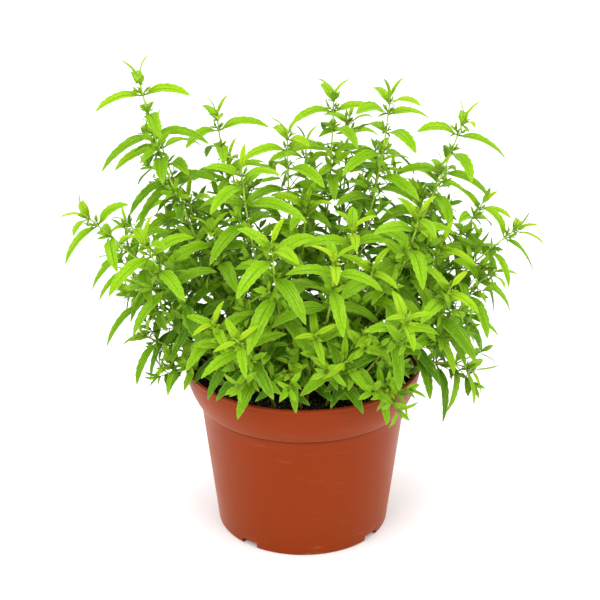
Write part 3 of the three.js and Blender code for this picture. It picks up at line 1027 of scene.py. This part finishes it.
class ShootTree(GrowthTree):
    """The tree that turns a shoot's skeleton into its stem, leaves and side shoots."""

    STATIONS = 22
    TOOTH_PERIOD = 3.0
    TOOTH_DEPTH = 0.13
    TEETH_FROM = (0.3, 0.45)
    TEETH_UNTIL = (0.9, 1.0)
    STEM_STEP = 2.5 * MM
    STEM_SIDES = 8
    MARGIN = 0.95
    OUTLINE_START = (0.0, 0.2)
    OUTLINE = ((0.06, 0.2), (0.14, 0.5), (0.25, 0.86), (0.38, 1.0), (0.56, 0.97), (0.74, 0.78),
               (0.9, 0.42))
    OUTLINE_STOP = (1.0, 0.03)

    def __init__(self) -> None:
        """Build the tree."""
        super().__init__("grow_shoot", {
            "Leaf material": ("NodeSocketMaterial", None),
            "Stem material": ("NodeSocketMaterial", None),
            "Blade section": ("NodeSocketObject", None),
            "Sprigs": ("NodeSocketCollection", None),
            "Blade stations": ("NodeSocketInt", self.STATIONS),
            "Tooth depth": ("NodeSocketFloat", self.TOOTH_DEPTH),
            "Stem step": ("NodeSocketFloat", self.STEM_STEP),
        })
        skeleton = self.given["Geometry"]
        blades = self.blades(self.part(skeleton, Kind.BLADE))
        stem = self.stem(self.part(skeleton, Kind.STEM))
        sprigs = self.sprigs(self.part(skeleton, Kind.SPRIG))
        join = self.add("GeometryNodeJoinGeometry")
        for branch in (sprigs, stem, blades):
            self.tree.links.new(branch, join.inputs[0])
        self.close(join.outputs[0])

    def blades(self, chains: Any) -> Socket:
        """Sweep the blade section along each leaf.

        Args:
            chains: The leaves' midribs.

        Returns:
            The blades with their material.
        """
        curves = self.add("GeometryNodeResampleCurve", self.curve(chains), None,
                          self.given["Blade stations"]).outputs[0]
        curves = self.add("GeometryNodeSetCurveNormal", curves, None,
                          self.named("blade_up", "FLOAT_VECTOR"), mode="FREE").outputs[0]
        spline = self.add("GeometryNodeSplineParameter").outputs
        curves = self.store(curves, "along", spline["Factor"])
        outline = self.add("ShaderNodeFloatCurve", 1.0, spline["Factor"])
        self.shape_outline(outline)
        beat = self.math("MODULO", spline["Index"], self.TOOTH_PERIOD)
        notch = self.math("MULTIPLY_ADD", beat, -0.5, 1.0)
        toothed = self.times(self.ramp(spline["Factor"], *self.TEETH_FROM),
                             self.ramp(spline["Factor"], *self.TEETH_UNTIL, 1.0, 0.0))
        tooth = self.times(self.times(notch, toothed), self.given["Tooth depth"])
        share = self.times(outline.outputs[0], self.math("SUBTRACT", 1.0, tooth))
        size = self.times(share, self.named("half_width"))
        profile = self.add("GeometryNodeObjectInfo", self.given["Blade section"]).outputs["Geometry"]
        loop = self.add("GeometryNodeMeshToCurve", profile).outputs[0]
        blades = self.add("GeometryNodeCurveToMesh", curves, loop, size, True).outputs[0]
        return self.dress(self.creased(blades), "Leaf material")

    def shape_outline(self, node: bpy.types.Node) -> None:
        """Draw a lance-shaped outline into a Float Curve node.

        Args:
            node: The node.
        """
        curve = node.mapping.curves[0]
        for x, y in self.OUTLINE:
            curve.points.new(x, y)
        curve.points[0].location = self.OUTLINE_START
        curve.points[-1].location = self.OUTLINE_STOP
        node.mapping.update()

    def creased(self, mesh: Any) -> Socket:
        """Blades shaded smooth, with a crease along both margins.

        Args:
            mesh: The blades.

        Returns:
            The shaded blades.
        """
        aside = self.math("ABSOLUTE", self.named("across"))
        margin = self.math("GREATER_THAN", aside, self.MARGIN)
        return self.add("GeometryNodeSetShadeSmooth", self.smooth(mesh), margin, False,
                        domain="EDGE").outputs[0]

    def stem(self, chain: Any) -> Socket:
        """Sweep a rounded outline along the stem.

        Args:
            chain: The stem's centre line.

        Returns:
            The stem with its material.
        """
        curve = self.add("GeometryNodeResampleCurve", self.curve(chain), None,
                         self.given["Stem step"], mode="LENGTH").outputs[0]
        circle = self.add("GeometryNodeCurvePrimitiveCircle", self.STEM_SIDES).outputs[0]
        spline = self.add("GeometryNodeSplineParameter").outputs
        curve = self.store(curve, "along", spline["Factor"])
        stem = self.add("GeometryNodeCurveToMesh", curve, circle,
                        self.named("half_width"), True).outputs[0]
        return self.dress(self.smooth(stem), "Stem material")

    def sprigs(self, points: Any) -> Socket:
        """Set a small side shoot on each marked point.

        Args:
            points: The marked points.

        Returns:
            The side shoots with their material.
        """
        aim = self.add("FunctionNodeAxesToRotation", self.named("aim", "FLOAT_VECTOR"),
                       self.named("blade_up", "FLOAT_VECTOR"),
                       primary_axis="Z", secondary_axis="X").outputs[0]
        sprigs = self.scatter(points, "Sprigs", self.named("variant", "INT"), aim,
                              self.named("half_width"))
        return self.dress(self.creased(sprigs), "Leaf material")


class ShootGrower:
    """Grows the visible shoots along the stems and leaves of the frame."""

    def __init__(self, leaf: bpy.types.Material, stem: bpy.types.Material) -> None:
        """Make the tree and the helpers that it uses.

        Args:
            leaf: The leaves' material.
            stem: The stems' material.
        """
        self.section = BladeSection().build("blade_section")
        self.sprigs = SprigMaker().build()
        self.tree = ShootTree()
        self.values = {"Leaf material": leaf, "Stem material": stem, "Blade section": self.section,
                       "Sprigs": self.sprigs}

    def grow(self, shoot: Shoot, draw: random.Random) -> bpy.types.Object:
        """Grow one shoot as a finished mesh object."""
        return self.tree.apply(Skeleton(shoot, draw).build(), f"herb_{shoot.name}", self.values)

    def put_away(self) -> None:
        """Remove the helpers."""
        bpy.data.objects.remove(self.section)
        clear(self.sprigs)


class Skeleton:
    """The chains and points that a shoot is grown from, as one mesh."""

    TYPES = {"kind": "INT", "half_width": "FLOAT", "tone": "FLOAT",
             "blade_up": "FLOAT_VECTOR", "aim": "FLOAT_VECTOR", "variant": "INT"}
    NODE_SWELL = 1.2
    STEM_SHARE = 0.85
    STEM_TONE = 0.5
    THINNEST_STEM = 0.3 * MM
    SINK = 0.4 * MM
    YOUNGEST, AGEING, AGE_SPREAD = 0.12, 1.25, 0.12
    ROLL = 0.35
    ROLL_SHARES = (0.0, 0.34, 0.72, 1.0)
    YOUNG_WIDTH, WIDENING = 0.64, 2.2
    NONE_ABOVE = 0.14
    TUFTS_ABOVE = 0.42
    TUFTS_BELOW = 0.25
    SPRIG_TONE = 0.6
    SPRIG_SIZE, SPRIG_GROWTH = 0.95, 0.3
    SPRIG_LIFT_MM = 0.8
    SPRIG_SPREAD = (0.75, 1.25)
    SPRIG_RISE, SPRIG_REACH = 0.8, (0.5, 1.0)
    SPRIG_TWIST = 0.6

    def __init__(self, shoot: Shoot, draw: random.Random) -> None:
        """Start the skeleton of a shoot.

        Args:
            shoot: The shoot.
            draw: The random source.
        """
        self.shoot = shoot
        self.draw = draw
        self.places: list[Vector] = []
        self.edges: list[tuple[int, int]] = []
        self.marks: dict[str, list[Any]] = {label: [] for label in self.TYPES}

    def point(self, at: Vector, kind: Kind, half_width: float, tone: float,
              up: Vector = Vector((0, 0, 1)), aim: Vector = Vector((0, 0, 1)),
              variant: int = 0) -> int:
        """Add a vertex.

        Args:
            at: Where it is.
            kind: What it belongs to.
            half_width: Half of the width there, or a sprig's size.
            tone: The age of the leaf, from 0, young, to 1, old.
            up: The upper side of the leaf.
            aim: Where a sprig points.
            variant: Which sprig it is.

        Returns:
            The vertex's number.
        """
        self.places.append(at)
        values = (kind.value, half_width, tone, up, aim, variant)
        for label, value in zip(self.marks, values):
            self.marks[label].append(value)
        return len(self.places) - 1

    def chain(self, numbers: Sequence[int]) -> None:
        """Join vertices in a row."""
        self.edges.extend(zip(numbers, numbers[1:]))

    def add_stem(self) -> None:
        """Add the stem's centre line, a little thicker at each node."""
        numbers = []
        total = len(self.shoot.centres)
        for index, (centre, half) in enumerate(zip(self.shoot.centres, self.shoot.halves)):
            swell = self.NODE_SWELL if 1 < index < total - 1 else 1.0
            radius = max(half, self.THINNEST_STEM) * self.STEM_SHARE
            numbers.append(self.point(centre, Kind.STEM, radius * swell, self.STEM_TONE))
            after = index + 1
            if index % 2 == 1 and after < total - 1:
                middle = (centre + self.shoot.centres[after]) / 2
                numbers.append(self.point(middle, Kind.STEM, radius, self.STEM_TONE))
        self.chain(numbers)

    def add_blades(self) -> None:
        """Add each leaf's midrib, and a sprig in its corner with the stem."""
        for blade in self.shoot.blades:
            age = min(1.0, self.YOUNGEST + self.AGEING * blade.rank
                      + self.draw.uniform(-self.AGE_SPREAD, self.AGE_SPREAD))
            roll = self.draw.uniform(-self.ROLL, self.ROLL)
            half = blade.half_width * min(1.0, self.YOUNG_WIDTH + self.WIDENING * blade.rank)
            start = blade.points[0] - blade.outward * self.SINK
            numbers = []
            for share, at in zip(self.ROLL_SHARES, [start, *blade.points[1:]]):
                up = Matrix.Rotation(roll * share, 3, blade.outward) @ blade.upper
                numbers.append(self.point(at, Kind.BLADE, half, age, up))
            self.chain(numbers)
            self.add_sprig(blade, age)

    def add_sprig(self, blade: Blade, age: float) -> None:
        """Add the side shoot above a leaf.

        Args:
            blade: The leaf.
            age: The leaf's age.
        """
        if blade.rank < self.NONE_ABOVE:
            return
        tuft = blade.rank < self.TUFTS_ABOVE or self.draw.random() < self.TUFTS_BELOW
        number = self.draw.randrange(SprigMaker.variants)
        variant = number if tuft else number + SprigMaker.variants
        size = self.SPRIG_SIZE + self.SPRIG_GROWTH * blade.rank
        size *= self.draw.uniform(*self.SPRIG_SPREAD)
        aim = blade.axis * self.SPRIG_RISE + blade.outward * self.draw.uniform(*self.SPRIG_REACH)
        at = blade.points[0] + blade.axis * self.SPRIG_LIFT_MM * MM
        twist = self.draw.uniform(-self.SPRIG_TWIST, self.SPRIG_TWIST)
        side = blade.axis.cross(blade.outward) * twist + blade.outward
        self.point(at, Kind.SPRIG, size, self.SPRIG_TONE * age, side.normalized(),
                   aim.normalized(), variant)

    def build(self) -> bpy.types.Object:
        """Make the skeleton's mesh.

        Returns:
            An object that carries it.
        """
        self.add_stem()
        self.add_blades()
        mesh = bpy.data.meshes.new("skeleton")
        mesh.from_pydata([tuple(at) for at in self.places], self.edges, [])
        for label, data_type in self.TYPES.items():
            mark(mesh, label, self.marks[label], data_type)
        return place("skeleton", mesh)


# ---- The pot and the compost -----------------------------------------------------


@dataclass
class Pot:
    """A thin moulded nursery pot, turned from its profile and slotted at its foot."""

    height: float
    rim_radius: float
    base_radius: float
    collar_foot: float = 81.5 * MM
    collar_radius: float = 63 * MM
    body_top_radius: float = 61.3 * MM
    collar_bulge: float = 1.2 * MM
    lip: float = 3 * MM
    wall: float = 1.5 * MM
    foot_width: float = 2.6 * MM
    foot_height: float = 4 * MM
    base_edge: float = 1.2 * MM
    notches: int = 4
    notch_turn: float = -38.0
    notch_width: float = 11 * MM
    notch_height: float = 3.6 * MM
    drains: int = 6
    drain_radius: float = 4 * MM
    drain_circle: float = 30 * MM
    foot_round: float = 0.8 * MM
    flare_start: float = 1 * MM
    floor_corner: float = 2 * MM
    body_steps: int = 10
    collar_steps: int = 14
    sides: int = 160
    edge_round: float = 0.25 * MM
    sharp_from: float = 32.0

    @classmethod
    def from_frame(cls) -> "Pot":
        """Take the pot's main sizes from its node.

        Returns:
            The pot.
        """
        low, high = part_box("pot")
        feet = [v.co for v in frame["nodes"]["pot"].data.vertices if v.co.z < 0.01 * MM]
        base = max(math.hypot(at.x, at.y) for at in feet)
        return cls(height=high.z - low.z, rim_radius=(high.x - low.x) / 2 - 0.2 * MM,
                   base_radius=base + cls.base_edge)

    def body_radius(self, z: float) -> float:
        """The outer radius of the body at a height."""
        return self.base_radius + (self.body_top_radius - self.base_radius) * z / self.collar_foot

    def collar_outer(self, share: float) -> tuple[float, float]:
        """A point on the collar's outside, from its foot at 0 to the lip at 1.

        Args:
            share: How far up the collar it is.

        Returns:
            Its radius and height.
        """
        z = self.collar_foot + (self.height - self.lip - self.collar_foot) * share
        straight = self.collar_radius + (self.rim_radius - self.collar_radius) * share
        return straight + self.collar_bulge * 4 * share * (1 - share), z

    def inner_radius(self, z: float) -> float:
        """The inner radius of the wall at a height.

        Args:
            z: The height.

        Returns:
            The radius.
        """
        flare = self.collar_foot + self.flare_start
        if z <= flare:
            return self.body_radius(min(z, self.collar_foot)) - self.wall
        share = (z - flare) / (self.height - flare)
        start = self.body_top_radius - self.wall
        return start + (self.rim_radius - self.wall - 0.8 * MM - start) * share

    @staticmethod
    def arc(centre: tuple[float, float], radius: float, start: float, stop: float,
            steps: int) -> list[tuple[float, float]]:
        """Points on an arc of the profile, from one angle in degrees to another."""
        angles = [math.radians(start + (stop - start) * i / steps) for i in range(steps + 1)]
        return [(centre[0] + radius * math.cos(a), centre[1] + radius * math.sin(a)) for a in angles]

    def profile(self) -> list[tuple[float, float]]:
        """The closed profile, from the axis under the floor round to the axis above it.

        Returns:
            The radius and height of each point.
        """
        floor = self.foot_height + self.wall
        foot_in = self.base_radius - self.base_edge - self.foot_width
        low, edge, corner = self.foot_round, self.base_edge, self.floor_corner
        seam, collar, body = self.collar_foot, self.collar_radius, self.body_radius(self.collar_foot)
        lip_half = self.wall * 0.75
        lip_centre = (self.rim_radius - lip_half + 0.2 * MM, self.height - lip_half)
        points = [(0.0, self.foot_height), (foot_in - 1 * MM, self.foot_height)]
        points += self.arc((foot_in - low, self.foot_height - low), low, 90, 0, 3)
        points += [(foot_in, low / 2), (foot_in + low / 2, 0.0)]
        points += self.arc((self.body_radius(edge) - edge, edge), edge, -90, 0, 6)
        for i in range(1, self.body_steps + 1):
            z = edge + (seam - 1 * MM - edge) * i / self.body_steps
            points.append((self.body_radius(z), z))
        points += [(body + 0.1 * MM, seam - 0.35 * MM),
                   (body + (collar - self.body_top_radius) * 0.75, seam - 0.1 * MM),
                   (collar - 0.1 * MM, seam + 0.05 * MM), (collar + 0.1 * MM, seam + 0.3 * MM)]
        points += [self.collar_outer(i / self.collar_steps) for i in range(1, self.collar_steps)]
        radius, z = self.collar_outer(1.0)
        points += [(radius, z - 0.1 * MM), (radius - 0.15 * MM, z + 0.15 * MM)]
        points += self.arc(lip_centre, lip_half, -20, 180, 10)
        points += [(self.inner_radius(z), z)
                   for z in (self.height - self.lip, seam + 12 * MM, seam + self.flare_start,
                             seam * 0.66, seam * 0.33)]
        points += self.arc((self.inner_radius(floor + corner) - corner, floor + corner),
                           corner, 0, -90, 4)
        points.append((0.0, floor))
        return points

    def turned(self) -> bmesh.types.BMesh:
        """Turn the profile about the pot's axis.

        Returns:
            The closed mesh.
        """
        skin = bmesh.new()
        points = self.profile()[1:-1]
        rings = []
        for i in range(self.sides):
            angle = 2 * math.pi * i / self.sides
            rings.append([skin.verts.new((r * math.sin(angle), -r * math.cos(angle), z))
                          for r, z in points])
        for i, ring in enumerate(rings):
            after = rings[(i + 1) % self.sides]
            for j in range(len(ring) - 1):
                skin.faces.new((ring[j], after[j], after[j + 1], ring[j + 1]))
        skin.faces.new([ring[0] for ring in reversed(rings)])
        skin.faces.new([ring[-1] for ring in rings])
        bmesh.ops.recalc_face_normals(skin, faces=skin.faces)
        return skin

    def cutters(self) -> bpy.types.Object:
        """The slots and drain holes as one object of separate closed solids.

        Returns:
            A helper object, which is removed once the pot is cut.
        """
        skin = bmesh.new()
        for i in range(self.notches):
            turn = Matrix.Rotation(math.radians(self.notch_turn + 360 / self.notches * i), 4, "Z")
            size = Matrix.Diagonal((self.notch_width, self.base_radius, 2 * self.notch_height, 1))
            shift = Matrix.Translation((0, -self.base_radius, 0))
            bmesh.ops.create_cube(skin, size=1.0, matrix=turn @ shift @ size)
        for i in range(self.drains):
            at = polar(self.drain_circle, 2 * math.pi * i / self.drains, self.foot_height)
            bmesh.ops.create_cone(skin, cap_ends=True, segments=32, radius1=self.drain_radius,
                                  radius2=self.drain_radius, depth=4 * self.wall,
                                  matrix=Matrix.Translation(at))
        return place("pot_cutters", stored("pot_cutters", skin))

    def build(self, material: bpy.types.Material) -> bpy.types.Object:
        """Make the pot.

        Args:
            material: The pot's material.

        Returns:
            The finished piece.
        """
        pot = place("nursery_pot", stored("nursery_pot", self.turned()))
        cutters = self.cutters()
        cut = pot.modifiers.new("slots", "BOOLEAN")
        cut.operation, cut.object, cut.solver = "DIFFERENCE", cutters, "EXACT"
        soften = pot.modifiers.new("soft_edges", "BEVEL")
        soften.width, soften.segments = self.edge_round, 2
        soften.limit_method, soften.angle_limit = "ANGLE", math.radians(50)
        final = evaluated(pot)
        pot.modifiers.clear()
        pot.data = final
        bpy.data.objects.remove(cutters)
        shade_by_angle(final, self.sharp_from)
        final.materials.clear()
        final.materials.append(material)
        return pot


def shade_by_angle(mesh: bpy.types.Mesh, degrees: float) -> None:
    """Shade a mesh smooth, with sharp edges where its faces turn by more than an angle.

    Args:
        mesh: The mesh.
        degrees: The angle.
    """
    mesh.polygons.foreach_set("use_smooth", [True] * len(mesh.polygons))
    skin = bmesh.new()
    skin.from_mesh(mesh)
    limit = math.radians(degrees)
    for edge in skin.edges:
        edge.smooth = len(edge.link_faces) != 2 or edge.calc_face_angle(0.0) < limit
    skin.to_mesh(mesh)
    skin.free()


@dataclass
class Compost:
    """The compost in the pot: a crumbly surface, with loose crumbs and fibres on it."""

    radius: float
    level: float
    bottom: float
    bottom_radius: float
    shoulder: float
    shoulder_radius: float
    dome: float = 1.2 * MM
    relief: float = 1.6 * MM
    grain: float = 0.35 * MM
    rings: int = 46
    sides: int = 150
    sharp_from: float = 60.0
    crumbs_each_cm2: float = 26.0
    crumb_size: float = 0.55 * MM
    crumb_drop: float = 2 * MM
    crumb_variants: int = 6
    crumb_spread: Sequence[float] = (0.7, 1.15)
    crumb_scale: Sequence[float] = (0.35, 1.5)
    crumb_shape: Sequence[float] = (1.3, 1.0, 0.8)
    fibre_shape: Sequence[float] = (4.5, 0.45, 0.4)
    fibres_from: int = 4
    seed: int = 3

    @classmethod
    def from_frame(cls) -> "Compost":
        """Take the compost's sizes from its node.

        Returns:
            The compost.
        """
        low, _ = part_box("soil")
        places = [v.co for v in frame["nodes"]["soil"].data.vertices]
        reach = max(math.hypot(at.x, at.y) for at in places)
        edge = max(at.z for at in places if math.hypot(at.x, at.y) > reach - 0.1 * MM)
        floor = [at for at in places if at.z < low.z + 0.1 * MM]
        side = [at for at in places if low.z + 10 * MM < at.z < edge - 5 * MM
                and math.hypot(at.x, at.y) > reach * 0.85]
        shoulder = max(side, key=lambda at: at.z)
        return cls(radius=reach, level=edge, bottom=low.z,
                   bottom_radius=max(math.hypot(at.x, at.y) for at in floor),
                   shoulder=shoulder.z, shoulder_radius=math.hypot(shoulder.x, shoulder.y))

    def height_at(self, x: float, y: float) -> float:
        """The height of the uneven surface.

        Args:
            x: How far to the right.
            y: How far back.

        Returns:
            The height.
        """
        share = math.hypot(x, y) / self.radius
        at = Vector((x, y, 0.0))
        lumps = noise.fractal(at * 90, 0.8, 2.1, 4) * self.relief
        fine = noise.noise(at * 700) * self.grain
        calm = min(1.0, 6 * (1 - share) + 0.3)
        return self.level + self.dome * (1 - share * share) + (lumps + fine) * calm

    def build(self, material: bpy.types.Material) -> bpy.types.Object:
        """Make the compost body.

        Args:
            material: Its material.

        Returns:
            The finished piece.
        """
        skin = bmesh.new()
        centre = skin.verts.new((0, 0, self.height_at(0, 0)))
        angles = [2 * math.pi * i / self.sides for i in range(self.sides)]
        rings = []
        for j in range(1, self.rings + 1):
            places = [polar(self.radius * j / self.rings, angle, 0.0) for angle in angles]
            rings.append([skin.verts.new((x, y, self.height_at(x, y))) for x, y, _ in places])
        for radius, z in ((self.shoulder_radius, self.shoulder), (self.bottom_radius, self.bottom)):
            rings.append([skin.verts.new(polar(radius, angle, z)) for angle in angles])
        for i in range(self.sides):
            k = (i + 1) % self.sides
            skin.faces.new((centre, rings[0][i], rings[0][k]))
            for inner, outer in zip(rings, rings[1:]):
                skin.faces.new((inner[i], outer[i], outer[k], inner[k]))
        skin.faces.new(reversed(rings[-1]))
        bmesh.ops.recalc_face_normals(skin, faces=skin.faces)
        mesh = stored("compost", skin)
        shade_by_angle(mesh, self.sharp_from)
        mesh.materials.append(material)
        return place("compost", mesh)

    def crumb_shapes(self) -> bpy.types.Collection:
        """Make a few crumbs and fibres to strew.

        Returns:
            Their collection, which is removed once they are strewn.
        """
        draw = random.Random(self.seed)
        shapes = []
        for number in range(self.crumb_variants):
            skin = bmesh.new()
            bmesh.ops.create_icosphere(skin, subdivisions=1, radius=1.0)
            shape = self.fibre_shape if number >= self.fibres_from else self.crumb_shape
            for vert in skin.verts:
                vert.co *= draw.uniform(*self.crumb_spread)
                vert.co *= Vector(shape)
            shapes.append(stored(f"crumb_{number}", skin))
        return shelve("crumbs", shapes)

    def strew(self, ground: bpy.types.Object, material: bpy.types.Material) -> bpy.types.Object:
        """Strew crumbs and fibres over the surface.

        Args:
            ground: The compost body.
            material: The crumbs' material.

        Returns:
            The finished piece.
        """
        tree = GrowthTree("strew_crumbs", {
            "Crumbs": ("NodeSocketCollection", None),
            "Material": ("NodeSocketMaterial", None),
            "Density": ("NodeSocketFloat", self.crumbs_each_cm2 * 1e4),
            "Lowest": ("NodeSocketFloat", self.level - self.crumb_drop),
            "Crumb size": ("NodeSocketFloat", self.crumb_size),
            "Seed": ("NodeSocketInt", self.seed),
        })
        height = tree.add("ShaderNodeSeparateXYZ", tree.add("GeometryNodeInputPosition").outputs[0])
        high = tree.math("GREATER_THAN", height.outputs["Z"], tree.given["Lowest"])
        points = tree.add("GeometryNodeDistributePointsOnFaces", tree.given["Geometry"], high,
                          tree.given["Density"], tree.given["Seed"], distribute_method="RANDOM")
        turn = tree.random(1, (0, 0, 0), (6.28, 6.28, 6.28), "FLOAT_VECTOR")
        size = tree.times(tree.random(2, *self.crumb_scale), tree.given["Crumb size"])
        which = tree.random(3, 0, self.crumb_variants - 1, "INT")
        cloud = tree.store(points.outputs["Points"], "tint", tree.random(4, 0.0, 1.0))
        tree.close(tree.dress(tree.scatter(cloud, "Crumbs", which, turn, size), "Material"))
        shapes = self.crumb_shapes()
        carrier = place("ground_copy", ground.data.copy())
        crumbs = tree.apply(carrier, "compost_crumbs", {"Crumbs": shapes, "Material": material})
        clear(shapes)
        return crumbs


# ---- The studio ----------------------------------------------------------------


@dataclass
class Studio:
    """A white floor and room, broad soft lights, and a camera from slightly above."""

    pitch: float = 22.9
    distance: float = 878 * MM
    aim_height: float = 142 * MM
    aside: float = -1.76 * MM
    lens: float = 90.0
    floor_half: float = 3.0
    sky: float = 1.3
    lamp_size: float = 1.4
    lamp_aim: float = 150 * MM

    def floor(self) -> None:
        """Lay a plain white floor."""
        mesh = bpy.data.meshes.new("studio_floor")
        half, z = self.floor_half, -0.05 * MM
        mesh.from_pydata([(-half, -half, z), (half, -half, z), (half, half, z), (-half, half, z)],
                         [], [(0, 1, 2, 3)])
        tree = ShaderTree("studio_white")
        tree.set(Base_Color=(0.9, 0.9, 0.9, 1.0), Roughness=0.9, Specular_IOR_Level=0.1)
        mesh.materials.append(tree.material)
        place("studio_floor", mesh)

    def lamp(self, name: str, at: tuple[float, float, float], power: float) -> None:
        """Hang a square soft light that faces the plant.

        Args:
            name: The light's name.
            at: Where it hangs.
            power: Its power in watts.
        """
        data = bpy.data.lights.new(name, "AREA")
        data.shape, data.size, data.energy = "SQUARE", self.lamp_size, power
        lamp = place(name, data)
        lamp.location = at
        aim = Vector((0, 0, self.lamp_aim)) - lamp.location
        lamp.rotation_euler = aim.to_track_quat("-Z", "Y").to_euler()

    def light(self) -> None:
        """Light the scene with a white sky and three lamps."""
        world = bpy.data.worlds.new("studio_world")
        world.use_nodes = True
        sky = world.node_tree.nodes["Background"].inputs
        sky["Color"].default_value = (1.0, 1.0, 1.0, 1.0)
        sky["Strength"].default_value = self.sky
        bpy.context.scene.world = world
        self.lamp("key", (-1.1, -1.1, 1.0), 15.0)
        self.lamp("fill", (1.2, -1.0, 0.9), 12.0)
        self.lamp("top", (0.0, 0.0, 1.8), 13.0)
        bpy.context.scene.view_settings.view_transform = "Standard"

    def camera(self) -> None:
        """Set up the camera."""
        data = bpy.data.cameras.new("camera")
        data.lens, data.sensor_width = self.lens, 36.0
        data.clip_start, data.clip_end = 0.01, 20.0
        camera = place("camera", data)
        pitch = math.radians(self.pitch)
        camera.location = (self.aside, -self.distance * math.cos(pitch),
                           self.aim_height + self.distance * math.sin(pitch))
        camera.rotation_euler = (math.pi / 2 - pitch, 0, 0)
        bpy.context.scene.camera = camera

    def build(self) -> None:
        """Set up floor, lights and camera."""
        self.floor()
        self.light()
        self.camera()


# ---- Assembly --------------------------------------------------------------------


def build_pot() -> None:
    """Build the pot."""
    finish_piece(Pot.from_frame().build(PotFinish().build()), Slot.POT, "pot")


def build_compost() -> None:
    """Build the compost and its crumbs."""
    material = SoilFinish().build()
    compost = Compost.from_frame()
    body = compost.build(material)
    crumbs = compost.strew(body, material)
    finish_piece(body, Slot.SOIL, "soil")
    finish_piece(crumbs, Slot.SOIL)


def build_shoots() -> None:
    """Build every shoot of the frame."""
    names = sorted(name for name in frame["nodes"] if name.startswith("shoot"))
    grower = ShootGrower(LeafFinish().build(), StemFinish().build())
    draw = random.Random(2026)
    shoots = [ShootReader(frame["nodes"][name]).read() for name in names]
    pieces = [grower.grow(shoot, draw) for shoot in shoots]
    grower.put_away()
    for name, piece in zip(names, pieces):
        finish_piece(piece, Slot.HERB, name)


def main() -> None:
    """Build the potted herb and its studio in order."""
    logging.basicConfig(level=logging.INFO, format="%(name)s: %(message)s")
    Studio().build()
    build_pot()
    build_compost()
    build_shoots()


if __name__ == "__main__":
    main()
